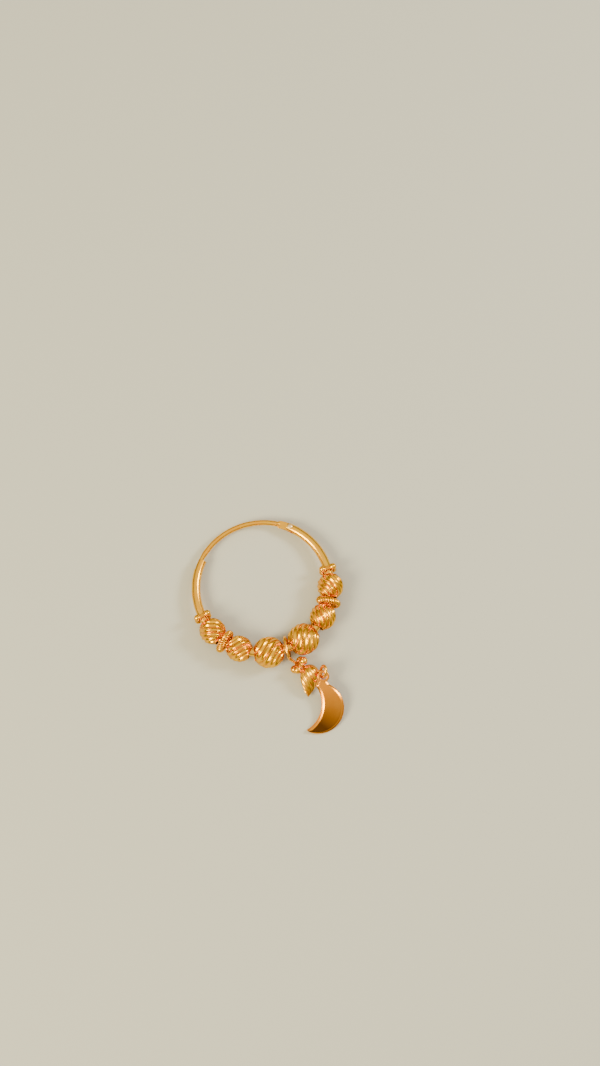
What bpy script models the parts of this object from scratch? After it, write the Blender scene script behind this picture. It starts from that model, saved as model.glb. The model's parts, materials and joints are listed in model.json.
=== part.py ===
"""Gold hoop earring: a beaded tube with a hinged ear wire and a hanging crescent, lying on its side.

Lengths are metres and angles are degrees. The hoop is drawn flat in its own plane, with its centre
at the origin and angles counted from +X towards +Y. The plane is then laid on the beads that carry
it, and the dangle is placed on the floor beside it, counted from the bail's place on the tube.
"""
import math

import bmesh
import bpy
import numpy as np
from mathutils import Matrix, Vector

# Hoop tube and ear wire
HOOP_RADIUS = 0.00875
TUBE_RADIUS = 0.000575
WIRE_RADIUS = 0.00035
WIRE_TIP_RADIUS = 0.00027
HINGE_ANGLE = 66.5
MOUTH_ANGLE = 155.8
WIRE_SEAT_OFFSET = 0.0002
TIP_INSERT = 0.0011
MOUTH_CLEARANCE = 0.00013
TIP_TAPER = 0.0009

# Hinge
PADDLE_HALF_WIDTH = 0.00052
PADDLE_THICKNESS = 0.0003
PADDLE_LENGTH = 0.00185
NECK_START = 0.00102
NECK_LENGTH = 0.00092
NECK_RADIUS = 0.00012
HINGE_CLEARANCE = 0.00012
CHEEK_REACH = 0.0005
PIN_RADIUS = 0.0002
PIN_CLEARANCE = 0.0001
PIN_HEAD_RADIUS = 0.00031
PIN_HEAD_HEIGHT = 0.00012
PIN_HEAD_TOP_SHARE = 0.7
PIN_HEAD_CLEARANCE = 0.00008

# Beads, spacers and rope rings threaded on the tube
SMALL_BEAD_RADIUS = 0.00172
BIG_BEAD_RADIUS = 0.00206
FLUTE_COUNT = 12
FLUTE_DEPTH = 0.00013
FLUTE_TWIST = 1.28
THREAD_CLEARANCE = 0.00014
HOLE_LENGTH_SHARE = 0.8
GRANULE_RADIUS = 0.00045
GRANULE_PITCH_RADIUS = 0.00098
GRANULE_TURN = 45.0
SPACER_BAND_RADIUS = 0.00092
SPACER_BAND_WIDTH = 0.0005
ROPE_RADIUS = 0.00046
ROPE_RIDGES = 26
ROPE_RIDGE_DEPTH = 0.00006
STRING_START_ANGLE = 206.9
BEAD_PLAY = 0.0001
SPACER_PLAY = 0.00024
BAIL_PLAY = 0.00036

# Dangle: bail, spacer, fluted drop, end ring and crescent. Its places and turns are counted from
# the bail's place on the tube: outwards from the hoop's centre, and square to that
DANGLE_WIRE_RADIUS = 0.0002
BAIL_HALF_LENGTH = 0.00142
BAIL_HALF_HEIGHT = 0.00096
BAIL_TURN = 9.0
BAIL_LEAN = 8.0
DANGLE_SPACER_PLACE = (0.00248, 0.00068)
DANGLE_SPACER_TURN = 36.0
DANGLE_SPACER_TILT = 20.0
DROP_RADIUS = 0.00124
DROP_LENGTH = 0.00425
DROP_BELLY_DEPTH = 0.00157
DROP_TOP_PLACE = (0.00301, 0.00207)
DROP_TURN = -25.7
DROP_SINK = 15.0
DROP_BORE_DEPTH = 0.00064
DROP_BORE_CLEARANCE = 0.00016
DROP_FLUTE_DEPTH = 0.0001
DROP_FLUTE_TWIST = 1.1
END_RING_RADIUS = 0.00072
END_RING_LEAN = 64.0
END_RING_JOINT_ANGLE = 88.0
REST_GAP = 0.00003

# Crescent plate, hung by its eyelet and drawn in its own plane from where its lower edge rests
CRESCENT_THICKNESS = 0.00042
CRESCENT_CHAMFER = 0.00012
EYELET_PLACE = (0.005045, 0.003031)
CRESCENT_TURN = -21.2
CRESCENT_SLOPE = 15.0
CRESCENT_HEIGHT = 0.0074
CRESCENT_WIDTH = 0.0048
EYELET_RADIUS = 0.00078
EYELET_HOLE_RADIUS = 0.00042

# Rounds are drawn with these numbers of sides
TUBE_STEPS = 64
WIRE_STEPS = 26
RING_STEPS = 16
ROUTE_STEPS = 5
PADDLE_END_STEPS = 9
OUTLINE_STEPS = 14
SHORT_OUTLINE_STEPS = 12
PIN_SIDES = 12
SPACER_BORE_SIDES = 14
TUBE_BEVEL_RESOLUTION = 4
WIRE_BEVEL_RESOLUTION = 2
SHARP_ANGLE = 40.0
MERGE_DISTANCE = 0.000001

# Cutters that pass right through a piece have this length
THROUGH_CUT = 0.0065

# Each piece of the string along the tube: its name, its kind and the play in front of it
STRING = [
    ("granule_spacer_1", "spacer", 0.0),
    ("fluted_bead_1", "small", SPACER_PLAY),
    ("rope_ring_1", "rope", BEAD_PLAY),
    ("fluted_bead_2", "small", BEAD_PLAY),
    ("fluted_bead_3", "big", BEAD_PLAY),
    ("bail", "bail", BAIL_PLAY),
    ("fluted_bead_4", "big", BAIL_PLAY),
    ("fluted_bead_5", "small", BEAD_PLAY),
    ("rope_ring_2", "rope", BEAD_PLAY),
    ("fluted_bead_6", "small", BEAD_PLAY),
    ("granule_spacer_2", "spacer", SPACER_PLAY),
]

GOLD = (0.78, 0.42, 0.08, 1.0)
DEEP_GOLD = (0.70, 0.30, 0.05, 1.0)
PALE_GOLD = (0.85, 0.52, 0.16, 1.0)

for old_object in list(bpy.data.objects):
    bpy.data.objects.remove(old_object)

parts = bpy.data.collections.new("hoop_earring")
cutters = bpy.data.collections.new("cutters")
bpy.context.scene.collection.children.link(parts)
bpy.context.scene.collection.children.link(cutters)


def gold(name, color, roughness):
    """Make a metal material with a Principled shader."""
    material = bpy.data.materials.new(name)
    material.use_nodes = True
    shader = material.node_tree.nodes["Principled BSDF"]
    shader.inputs["Base Color"].default_value = color
    shader.inputs["Metallic"].default_value = 1.0
    shader.inputs["Roughness"].default_value = roughness
    material.diffuse_color = color
    return material


def add_empty(name, parent=None):
    """Add an empty that carries other objects."""
    empty = bpy.data.objects.new(name, None)
    empty.empty_display_size = WIRE_RADIUS
    empty.parent = parent
    parts.objects.link(empty)
    return empty


def add_part(name, mesh, material, parent, place=None):
    """Add a named sub-part with its material under its parent."""
    part = bpy.data.objects.new(name, mesh)
    part.data.materials.clear()
    part.data.materials.append(material)
    part.data.shade_smooth()
    part.data.set_sharp_from_angle(angle=math.radians(SHARP_ANGLE))
    part.parent = parent
    if place is not None:
        part.matrix_local = place
    parts.objects.link(part)
    return part


def add_operand(name, mesh, parent, place=None):
    """Add a hidden solid that a Boolean modifier cuts away or fuses on."""
    operand = bpy.data.objects.new(name, mesh)
    operand.parent = parent
    if place is not None:
        operand.matrix_local = place
    operand.hide_render = True
    operand.display_type = 'WIRE'
    cutters.objects.link(operand)
    return operand


def combine(part, operation, operand):
    """Cut the operand from the part, or fuse it on."""
    modifier = part.modifiers.new(operand.name, 'BOOLEAN')
    modifier.operation = operation
    modifier.solver = 'EXACT'
    modifier.object = operand


def mesh_from(name, build):
    """Make a mesh from a function that fills a bmesh."""
    work = bmesh.new()
    build(work)
    mesh = bpy.data.meshes.new(name)
    work.to_mesh(mesh)
    work.free()
    return mesh


def cylinder_mesh(name, radius, depth, sides=16, top_radius=None):
    """Make a closed cylinder or cone along Z, centred on the origin."""
    upper = radius if top_radius is None else top_radius
    return mesh_from(name, lambda work: bmesh.ops.create_cone(
        work, cap_ends=True, segments=sides, radius1=radius, radius2=upper, depth=depth))


def box_mesh(name, size):
    """Make a box with the given sides, centred on the origin."""
    scale = Matrix.Diagonal((*size, 1.0))
    return mesh_from(name, lambda work: bmesh.ops.create_cube(work, size=1.0, matrix=scale))


def solid_from_curve(name, curve):
    """Turn a bevelled or extruded curve into a closed mesh and remove the curve."""
    carrier = bpy.data.objects.new(name, curve)
    bpy.context.scene.collection.objects.link(carrier)
    bpy.context.view_layer.update()
    graph = bpy.context.evaluated_depsgraph_get()
    mesh = bpy.data.meshes.new_from_object(carrier.evaluated_get(graph))
    bpy.data.objects.remove(carrier)
    bpy.data.curves.remove(curve)
    work = bmesh.new()
    work.from_mesh(mesh)
    bmesh.ops.remove_doubles(work, verts=work.verts, dist=MERGE_DISTANCE)
    bmesh.ops.recalc_face_normals(work, faces=work.faces)
    work.to_mesh(mesh)
    work.free()
    return mesh


def tube_mesh(name, points, radius, resolution, cyclic=False, shares=None):
    """Sweep a round section along points as a bevelled curve with closed ends."""
    curve = bpy.data.curves.new(name, 'CURVE')
    curve.dimensions = '3D'
    curve.twist_mode = 'Z_UP' if not cyclic else 'MINIMUM'
    curve.bevel_depth = radius
    curve.bevel_resolution = resolution
    curve.use_fill_caps = not cyclic
    spline = curve.splines.new('POLY')
    spline.points.add(len(points) - 1)
    spline.use_cyclic_u = cyclic
    for index, point in enumerate(points):
        spline.points[index].co = (*point, 1.0)
        spline.points[index].radius = 1.0 if shares is None else shares[index]
    return solid_from_curve(name, curve)


def hoop_point(angle, radius=HOOP_RADIUS):
    """Give a point of the hoop's plane from its angle and its distance to the centre."""
    turn = math.radians(angle)
    return Vector((radius * math.cos(turn), radius * math.sin(turn), 0.0))


def on_hoop(angle, radius=HOOP_RADIUS):
    """Give a frame on the hoop: X outwards, Z along the tube."""
    turn = math.radians(angle)
    outwards = Vector((math.cos(turn), math.sin(turn), 0.0))
    along = Vector((-math.sin(turn), math.cos(turn), 0.0))
    frame = Matrix((outwards, along.cross(outwards), along)).transposed().to_4x4()
    frame.translation = outwards * radius
    return frame


def arc_degrees(length, radius=HOOP_RADIUS):
    """Turn a length along the hoop into degrees."""
    return math.degrees(length / radius)


# Each kind of threaded piece: the distance of its rounding's centre from the tube's axis,
# and that rounding's radius
rope_pitch = TUBE_RADIUS + THREAD_CLEARANCE + ROPE_RADIUS
ROUNDINGS = {
    "small": (0.0, SMALL_BEAD_RADIUS),
    "big": (0.0, BIG_BEAD_RADIUS),
    "rope": (rope_pitch, ROPE_RADIUS),
    "spacer": (GRANULE_PITCH_RADIUS, GRANULE_RADIUS),
    "bail": (BAIL_HALF_LENGTH, DANGLE_WIRE_RADIUS),
}


def angle_between(kind_a, kind_b, play):
    """Angle between two neighbours whose roundings keep the play on the hoop's inner side.

    The law of cosines in the triangle of the hoop's centre and the two roundings' centres.
    """
    pitch_a, round_a = ROUNDINGS[kind_a]
    pitch_b, round_b = ROUNDINGS[kind_b]
    side_a = HOOP_RADIUS - pitch_a
    side_b = HOOP_RADIUS - pitch_b
    apart = round_a + round_b + play
    cosine = (side_a ** 2 + side_b ** 2 - apart ** 2) / (2.0 * side_a * side_b)
    return math.degrees(math.acos(cosine))


string_angles = {}
angle = STRING_START_ANGLE
kind_before = None
for piece_name, kind, play in STRING:
    if kind_before is not None:
        angle += angle_between(kind_before, kind, play)
    string_angles[piece_name] = angle
    kind_before = kind


def resting_floor():
    """Find the floor that touches both end beads and one big bead without cutting the rest.

    Returns the floor's up direction in the hoop's own frame and its distance to the hoop's centre.
    """
    beads = [(hoop_point(string_angles[name]), ROUNDINGS[kind][1])
             for name, kind, _ in STRING if kind in ("small", "big")]
    big = [index for index, (_, radius) in enumerate(beads) if radius == BIG_BEAD_RADIUS]
    best = None
    for middle in big:
        trio = [beads[0], beads[-1], beads[middle]]
        system = np.array([[place.x, place.y, 1.0] for place, _ in trio])
        slope_x, slope_y, height = np.linalg.solve(system, [radius for _, radius in trio])
        room = min(place.x * slope_x + place.y * slope_y + height - radius for place, radius in beads)
        if best is None or room > best[0]:
            best = (room, slope_x, slope_y, height)
    _, slope_x, slope_y, height = best
    up = Vector((slope_x, slope_y, math.sqrt(1.0 - slope_x ** 2 - slope_y ** 2)))
    return up, height


floor_up, hoop_height = resting_floor()
earring = add_empty("earring")
hoop_plane = add_empty("hoop_plane", earring)
hoop_matrix = floor_up.rotation_difference(Vector((0.0, 0.0, 1.0))).to_matrix().to_4x4()
hoop_matrix.translation = (0.0, 0.0, hoop_height)
hoop_plane.matrix_local = hoop_matrix
hinge = add_empty("hinge", hoop_plane)
hinge.location = hoop_point(HINGE_ANGLE)

tube_gold = gold("tube_gold", PALE_GOLD, 0.22)
bead_gold = gold("bead_gold", GOLD, 0.25)
crescent_gold = gold("crescent_gold", DEEP_GOLD, 0.2)


def hoop_tube():
    """Tube from the mouth round to the hinge, slotted for the paddle and grooved for the wire's tip."""
    first = MOUTH_ANGLE
    last = HINGE_ANGLE + 360.0 + arc_degrees(CHEEK_REACH)
    points = [hoop_point(a) for a in np.linspace(first, last, TUBE_STEPS)]
    mesh = tube_mesh("hoop_tube", points, TUBE_RADIUS, TUBE_BEVEL_RESOLUTION)
    tube = add_part("hoop_tube", mesh, tube_gold, hoop_plane)

    slot_reach = PADDLE_HALF_WIDTH + HINGE_CLEARANCE
    slot_length = slot_reach + CHEEK_REACH + TUBE_RADIUS
    slot_size = (4.0 * TUBE_RADIUS, PADDLE_THICKNESS + 2.0 * HINGE_CLEARANCE, slot_length)
    slot_place = on_hoop(HINGE_ANGLE) @ Matrix.Translation((0.0, 0.0, slot_length / 2.0 - slot_reach))
    slot = add_operand("hinge_slot", box_mesh("hinge_slot", slot_size), hoop_plane, slot_place)
    combine(tube, 'DIFFERENCE', slot)

    bore = cylinder_mesh("hinge_bore", PIN_RADIUS + PIN_CLEARANCE, THROUGH_CUT, PIN_SIDES)
    combine(tube, 'DIFFERENCE', add_operand("hinge_bore", bore, hinge))

    half_groove = WIRE_TIP_RADIUS + MOUTH_CLEARANCE
    groove_length = TIP_INSERT + WIRE_TIP_RADIUS + 2.0 * MOUTH_CLEARANCE
    arc_rise = groove_length ** 2 / (8.0 * HOOP_RADIUS)
    groove_floor = HOOP_RADIUS + WIRE_SEAT_OFFSET - half_groove - arc_rise
    groove_height = 3.0 * TUBE_RADIUS
    groove_size = (groove_height, 2.0 * half_groove, groove_length)
    groove_angle = MOUTH_ANGLE + arc_degrees(TIP_INSERT / 2.0)
    groove_place = on_hoop(groove_angle, groove_floor + groove_height / 2.0)
    groove = add_operand("mouth_groove", box_mesh("mouth_groove", groove_size), hoop_plane, groove_place)
    combine(tube, 'DIFFERENCE', groove)


def ear_wire():
    """Thin springy wire from the flat paddle at the hinge round to the tip in the mouth."""
    tip_angle = MOUTH_ANGLE + arc_degrees(TIP_INSERT)
    neck_angle = HINGE_ANGLE + arc_degrees(NECK_START)
    angles = np.linspace(neck_angle, tip_angle, WIRE_STEPS)
    points = []
    shares = []
    for a in angles:
        way = (a - neck_angle) / (tip_angle - neck_angle)
        from_neck = math.radians(a - neck_angle) * HOOP_RADIUS
        to_tip = math.radians(tip_angle - a) * HOOP_RADIUS
        swell = min(1.0, from_neck / NECK_LENGTH)
        slim = max(0.0, min(1.0, (to_tip - TIP_INSERT) / TIP_TAPER))
        thick = WIRE_TIP_RADIUS + (WIRE_RADIUS - WIRE_TIP_RADIUS) * slim
        radius = NECK_RADIUS + (thick - NECK_RADIUS) * swell
        points.append(hoop_point(a, HOOP_RADIUS + WIRE_SEAT_OFFSET * way * way) - hinge.location)
        shares.append(radius / WIRE_RADIUS)
    rounded_angle = tip_angle + arc_degrees(WIRE_TIP_RADIUS / 2.0)
    points.append(hoop_point(rounded_angle, HOOP_RADIUS + WIRE_SEAT_OFFSET) - hinge.location)
    shares.append(WIRE_TIP_RADIUS / 2.0 / WIRE_RADIUS)
    round_wire = tube_mesh("ear_wire_round", points, WIRE_RADIUS, WIRE_BEVEL_RESOLUTION, shares=shares)

    wire = add_part("ear_wire", paddle_mesh(), tube_gold, hinge)
    combine(wire, 'UNION', add_operand("ear_wire_round", round_wire, hinge))
    bore = cylinder_mesh("paddle_bore", PIN_RADIUS + PIN_CLEARANCE, THROUGH_CUT, PIN_SIDES)
    combine(wire, 'DIFFERENCE', add_operand("paddle_bore", bore, hinge))


def paddle_mesh():
    """Flat paddle that follows the hoop, with a round end about the pin and a narrowing far end."""
    near_end = [math.radians(t) for t in np.linspace(90.0, 270.0, PADDLE_END_STEPS)]
    offsets = [(PADDLE_HALF_WIDTH * math.cos(t), PADDLE_HALF_WIDTH * math.sin(t)) for t in near_end]
    shoulder = PADDLE_LENGTH - PADDLE_HALF_WIDTH
    far_end = [math.radians(t) for t in np.linspace(-90.0, 90.0, PADDLE_END_STEPS)]
    offsets += [(shoulder + PADDLE_HALF_WIDTH * math.cos(t), PADDLE_HALF_WIDTH * math.sin(t))
                for t in far_end]
    curve = bpy.data.curves.new("paddle", 'CURVE')
    curve.dimensions = '2D'
    curve.fill_mode = 'BOTH'
    curve.extrude = PADDLE_THICKNESS / 2.0
    spline = curve.splines.new('POLY')
    spline.points.add(len(offsets) - 1)
    spline.use_cyclic_u = True
    for index, (along, outwards) in enumerate(offsets):
        place = hoop_point(HINGE_ANGLE + arc_degrees(along), HOOP_RADIUS + outwards) - hinge.location
        spline.points[index].co = (*place, 1.0)
    return solid_from_curve("ear_wire", curve)


def hinge_pin():
    """Riveted pin through both cheeks, with a low head outside each."""
    shank_length = 2.0 * (TUBE_RADIUS + PIN_HEAD_CLEARANCE) + PIN_HEAD_HEIGHT
    shank = cylinder_mesh("hinge_pin", PIN_RADIUS, shank_length, PIN_SIDES)
    pin = add_part("hinge_pin", shank, tube_gold, hinge)
    for side, label in ((1.0, "upper"), (-1.0, "lower")):
        head = cylinder_mesh(label + "_pin_head", PIN_HEAD_RADIUS, PIN_HEAD_HEIGHT, PIN_SIDES,
                             top_radius=PIN_HEAD_TOP_SHARE * PIN_HEAD_RADIUS)
        lift = side * (TUBE_RADIUS + PIN_HEAD_CLEARANCE + PIN_HEAD_HEIGHT / 2.0)
        place = Matrix.Translation((0.0, 0.0, lift))
        if side < 0.0:
            place = place @ Matrix.Rotation(math.pi, 4, 'X')
        combine(pin, 'UNION', add_operand(label + "_pin_head", head, hinge, place))


def flute(work, radius, depth, twist, profile):
    """Press twisted flutes into a sphere and draw it out to a profile.

    Every second meridian is pressed in, by the depth times the cosine of the latitude. A point turns
    against its height, by the twist times the sine of the latitude, which makes the flutes S-shaped.
    """
    for vertex in work.verts:
        sine = max(-1.0, min(1.0, vertex.co.z / radius))
        latitude = math.asin(sine)
        meridian = math.atan2(vertex.co.y, vertex.co.x)
        step = round(meridian / (math.pi / FLUTE_COUNT))
        pressed = depth * math.cos(latitude) if step % 2 else 0.0
        height, girth = profile(latitude)
        reach = max(0.0, girth - pressed)
        turned = meridian - twist * sine
        vertex.co = (reach * math.cos(turned), reach * math.sin(turned), height)


def bead_mesh(name, radius):
    """Fluted round bead, its hole's axis along Z."""
    def build(work):
        bmesh.ops.create_uvsphere(work, u_segments=2 * FLUTE_COUNT, v_segments=10, radius=radius)
        flute(work, radius, FLUTE_DEPTH, FLUTE_TWIST,
              lambda latitude: (radius * math.sin(latitude), radius * math.cos(latitude)))
    return mesh_from(name, build)


def thread_bore(radius):
    """Hole that clears the curved tube over a bead's length: the tube, its rise and the clearance."""
    rise = radius ** 2 / (2.0 * HOOP_RADIUS)
    return TUBE_RADIUS + rise + THREAD_CLEARANCE


def fluted_bead(name, radius):
    """Bead threaded on the tube at its place in the string."""
    place = on_hoop(string_angles[name])
    bead = add_part(name, bead_mesh(name, radius), bead_gold, hoop_plane, place)
    bore = cylinder_mesh(name + "_bore", thread_bore(HOLE_LENGTH_SHARE * radius), THROUGH_CUT)
    combine(bead, 'DIFFERENCE', add_operand(name + "_bore", bore, hoop_plane, place))


def rope_ring(name):
    """Ring of twisted wire round the tube, ridged across its section."""
    bpy.ops.mesh.primitive_torus_add(major_radius=rope_pitch, minor_radius=ROPE_RADIUS,
                                     major_segments=2 * ROPE_RIDGES, minor_segments=8)
    torus = bpy.context.active_object
    mesh = torus.data.copy()
    bpy.data.objects.remove(torus)
    for vertex in mesh.vertices:
        turn = math.atan2(vertex.co.y, vertex.co.x)
        centre = Vector((math.cos(turn), math.sin(turn), 0.0)) * rope_pitch
        step = round(turn / (math.pi / ROPE_RIDGES))
        if step % 2:
            share = 1.0 - ROPE_RIDGE_DEPTH / ROPE_RADIUS
            vertex.co = centre + (vertex.co - centre) * share
    add_part(name, mesh, bead_gold, hoop_plane, on_hoop(string_angles[name]))


def granule_spacer(name, parent, place):
    """Band with four granules soldered round it, drilled for the tube."""
    band = cylinder_mesh(name, SPACER_BAND_RADIUS, SPACER_BAND_WIDTH)

    def granules(work):
        for quarter in range(4):
            turn = math.radians(GRANULE_TURN + 90.0 * quarter)
            centre = Vector((math.cos(turn), math.sin(turn), 0.0)) * GRANULE_PITCH_RADIUS
            bmesh.ops.create_uvsphere(work, u_segments=10, v_segments=6, radius=GRANULE_RADIUS,
                                      matrix=Matrix.Translation(centre))

    spacer = add_part(name, band, bead_gold, parent, place)
    balls = mesh_from(name + "_granules", granules)
    combine(spacer, 'UNION', add_operand(name + "_granules", balls, parent, place))
    bore_radius = TUBE_RADIUS + THREAD_CLEARANCE
    bore = cylinder_mesh(name + "_bore", bore_radius, THROUGH_CUT, SPACER_BORE_SIDES)
    combine(spacer, 'DIFFERENCE', add_operand(name + "_bore", bore, parent, place))


hoop_tube()
ear_wire()
hinge_pin()
for piece_name, kind, _ in STRING:
    if kind == "small":
        fluted_bead(piece_name, SMALL_BEAD_RADIUS)
    elif kind == "big":
        fluted_bead(piece_name, BIG_BEAD_RADIUS)
    elif kind == "rope":
        rope_ring(piece_name)
    elif kind == "spacer":
        granule_spacer(piece_name, hoop_plane, on_hoop(string_angles[piece_name]))

# Frame of the dangle, flat on the floor under the bail: X outwards from the hoop
bail_angle = string_angles["bail"]
dangle_frame = Matrix.Rotation(math.radians(bail_angle), 4, 'Z')
dangle_frame.translation = (*(hoop_matrix @ hoop_point(bail_angle)).xy, 0.0)


def on_dangle(place, height):
    """Give a point of the dangle from its place in the dangle's frame and its height."""
    return dangle_frame @ Vector((*place, height))


def dangle_direction(turn, sink):
    """Give a direction from its turn in the dangle's frame and how far it sinks."""
    turning = math.radians(turn)
    sinking = math.radians(sink)
    flat = math.cos(sinking)
    direction = Vector((flat * math.cos(turning), flat * math.sin(turning), -math.sin(sinking)))
    return dangle_frame.to_3x3() @ direction


# Crescent plate: its plane rises from the floor at its lower edge, up to the eyelet at its place
eyelet_centre = Vector((0.046 * CRESCENT_WIDTH, CRESCENT_HEIGHT, 0.0))
plate_turning = Matrix.Rotation(math.radians(bail_angle + CRESCENT_TURN + 90.0), 4, 'Z')
plate_turning = plate_turning @ Matrix.Rotation(math.radians(CRESCENT_SLOPE), 4, 'X')
eyelet_reach = plate_turning @ eyelet_centre
plate_foot = on_dangle(EYELET_PLACE, 0.0) - Vector((*eyelet_reach.xy, 0.0))
plate_lift = Matrix.Translation((0.0, 0.0, CRESCENT_THICKNESS / 2.0 + REST_GAP))
crescent_plane = Matrix.Translation(plate_foot) @ plate_turning @ plate_lift


def arc_through(first, middle, last, steps):
    """Points along the circle that passes through three points."""
    a, b, c = (np.array(point) for point in (first, middle, last))
    system = 2.0 * np.array([b - a, c - a])
    centre = np.linalg.solve(system, [b @ b - a @ a, c @ c - a @ a])
    radius = np.linalg.norm(a - centre)
    turns = [math.atan2(*(point - centre)[::-1]) for point in (a, b, c)]
    sweep_b = (turns[1] - turns[0]) % math.tau
    sweep_c = (turns[2] - turns[0]) % math.tau
    if sweep_b > sweep_c:
        sweep_c -= math.tau
    ways = turns[0] + sweep_c * np.linspace(0.0, 1.0, steps)
    return [tuple(centre + radius * np.array([math.cos(way), math.sin(way)])) for way in ways]


def crescent():
    """Flat crescent with chamfered rims, whose upper horn ends in the eyelet that hangs it."""
    width = CRESCENT_WIDTH
    height = CRESCENT_HEIGHT
    neck_right = (0.19 * width, 0.861 * height)
    outer_side = (0.596 * width, 0.457 * height)
    horn_outer = (-0.325 * width, 0.022 * height)
    horn_tip = (-0.393 * width, 0.06 * height)
    inner_side = (0.008 * width, 0.509 * height)
    upper_corner = (-0.152 * width, 0.834 * height)
    outline = arc_through(neck_right, outer_side, horn_outer, OUTLINE_STEPS)
    outline += arc_through(horn_tip, inner_side, upper_corner, SHORT_OUTLINE_STEPS)
    left_turn = math.radians(215.0)
    right_turn = math.radians(-55.0)
    for turn in np.linspace(left_turn, right_turn, OUTLINE_STEPS):
        outline.append((eyelet_centre.x + EYELET_RADIUS * math.cos(turn),
                        eyelet_centre.y + EYELET_RADIUS * math.sin(turn)))
    curve = bpy.data.curves.new("crescent", 'CURVE')
    curve.dimensions = '2D'
    curve.fill_mode = 'BOTH'
    curve.extrude = CRESCENT_THICKNESS / 2.0 - CRESCENT_CHAMFER
    curve.bevel_depth = CRESCENT_CHAMFER
    curve.bevel_resolution = 0
    curve.offset = -CRESCENT_CHAMFER
    hole = [(eyelet_centre.x + EYELET_HOLE_RADIUS * math.cos(turn),
             eyelet_centre.y + EYELET_HOLE_RADIUS * math.sin(turn))
            for turn in np.linspace(0.0, math.tau, SHORT_OUTLINE_STEPS, endpoint=False)]
    for ring in (outline[::-1], hole):
        spline = curve.splines.new('POLY')
        spline.points.add(len(ring) - 1)
        spline.use_cyclic_u = True
        for index, point in enumerate(ring):
            spline.points[index].co = (*point, 0.0, 1.0)
    add_part("crescent", solid_from_curve("crescent", curve), crescent_gold, earring, crescent_plane)


crescent()

# Bail, spacer, drop and end ring of the dangle
bail_frame = hoop_matrix @ on_hoop(bail_angle)
bail_frame = bail_frame @ Matrix.Rotation(math.radians(BAIL_TURN), 4, 'Y')
bail_frame = bail_frame @ Matrix.Rotation(math.radians(BAIL_LEAN), 4, 'X')
bail_end = bail_frame @ Vector((BAIL_HALF_LENGTH, 0.0, 0.0))

granule_drop = GRANULE_PITCH_RADIUS * math.sin(math.radians(GRANULE_TURN))
granule_drop *= math.cos(math.radians(DANGLE_SPACER_TILT))
spacer_centre = on_dangle(DANGLE_SPACER_PLACE, granule_drop + GRANULE_RADIUS + REST_GAP)
spacer_axis = dangle_direction(DANGLE_SPACER_TURN, DANGLE_SPACER_TILT)
spacer_side = Vector((0.0, 0.0, 1.0)).cross(spacer_axis).normalized()
spacer_frame = Matrix((spacer_side, spacer_axis.cross(spacer_side), spacer_axis)).transposed().to_4x4()
spacer_frame.translation = spacer_centre
granule_spacer("granule_spacer_3", earring, spacer_frame)

drop_axis = dangle_direction(DROP_TURN, DROP_SINK)
drop_height = DROP_RADIUS + REST_GAP - DROP_BELLY_DEPTH * drop_axis.z
drop_top = on_dangle(DROP_TOP_PLACE, drop_height)

rim_middle = (EYELET_RADIUS + EYELET_HOLE_RADIUS) / 2.0
ring_centre = crescent_plane @ (eyelet_centre + Vector((0.0, rim_middle, 0.0)))
ring_lean = math.radians(END_RING_LEAN)
ring_side = crescent_plane.to_3x3() @ Vector((1.0, 0.0, 0.0))
ring_across = -math.cos(ring_lean) * ring_side + Vector((0.0, 0.0, -math.sin(ring_lean)))
ring_up_slope = crescent_plane.to_3x3() @ Vector((0.0, 1.0, 0.0))
joint_turn = math.radians(END_RING_JOINT_ANGLE)
ring_joint = ring_centre + END_RING_RADIUS * (math.cos(joint_turn) * ring_up_slope
                                              + math.sin(joint_turn) * ring_across)
bore_along = (ring_joint - spacer_centre).normalized()
near_bore = drop_top + drop_axis * DROP_BORE_DEPTH - spacer_centre
drop_bore_centre = spacer_centre + bore_along * near_bore.dot(bore_along)


def smooth_route(stops, steps):
    """Pass a smooth curve through the stops, each stretch a Catmull-Rom cubic."""
    ends = [2.0 * stops[0] - stops[1]] + list(stops) + [2.0 * stops[-1] - stops[-2]]
    route = []
    for index in range(1, len(ends) - 2):
        before, start, stop, after = ends[index - 1:index + 3]
        for way in np.linspace(0.0, 1.0, steps, endpoint=False):
            route.append(0.5 * (2.0 * start + (stop - before) * way
                                + (2.0 * before - 5.0 * start + 4.0 * stop - after) * way ** 2
                                + (3.0 * start - before - 3.0 * stop + after) * way ** 3))
    route.append(stops[-1])
    return route


def dangle_wire():
    """One wire: the bail round the tube, the shank through spacer and drop, and the end ring."""
    turns = np.linspace(0.0, math.tau, RING_STEPS, endpoint=False)
    bail_points = [bail_frame @ Vector((BAIL_HALF_LENGTH * math.cos(turn),
                                        BAIL_HALF_HEIGHT * math.sin(turn), 0.0)) for turn in turns]
    bail = tube_mesh("dangle_wire", bail_points, DANGLE_WIRE_RADIUS, WIRE_BEVEL_RESOLUTION, cyclic=True)
    ring_points = [ring_centre + END_RING_RADIUS * (math.cos(turn) * ring_up_slope
                                                    + math.sin(turn) * ring_across) for turn in turns]
    ring = tube_mesh("end_ring", ring_points, DANGLE_WIRE_RADIUS, WIRE_BEVEL_RESOLUTION, cyclic=True)
    half_bore = HOLE_LENGTH_SHARE * DROP_RADIUS * bore_along
    bore_start = drop_bore_centre - half_bore
    bore_end = drop_bore_centre + half_bore
    route = smooth_route([bail_end, spacer_centre, bore_start, bore_end, ring_joint], ROUTE_STEPS)
    shank = tube_mesh("dangle_shank", route, DANGLE_WIRE_RADIUS, WIRE_BEVEL_RESOLUTION)
    wire = add_part("dangle_wire", bail, tube_gold, earring)
    combine(wire, 'UNION', add_operand("dangle_shank", shank, earring))
    combine(wire, 'UNION', add_operand("end_ring", ring, earring))


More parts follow.
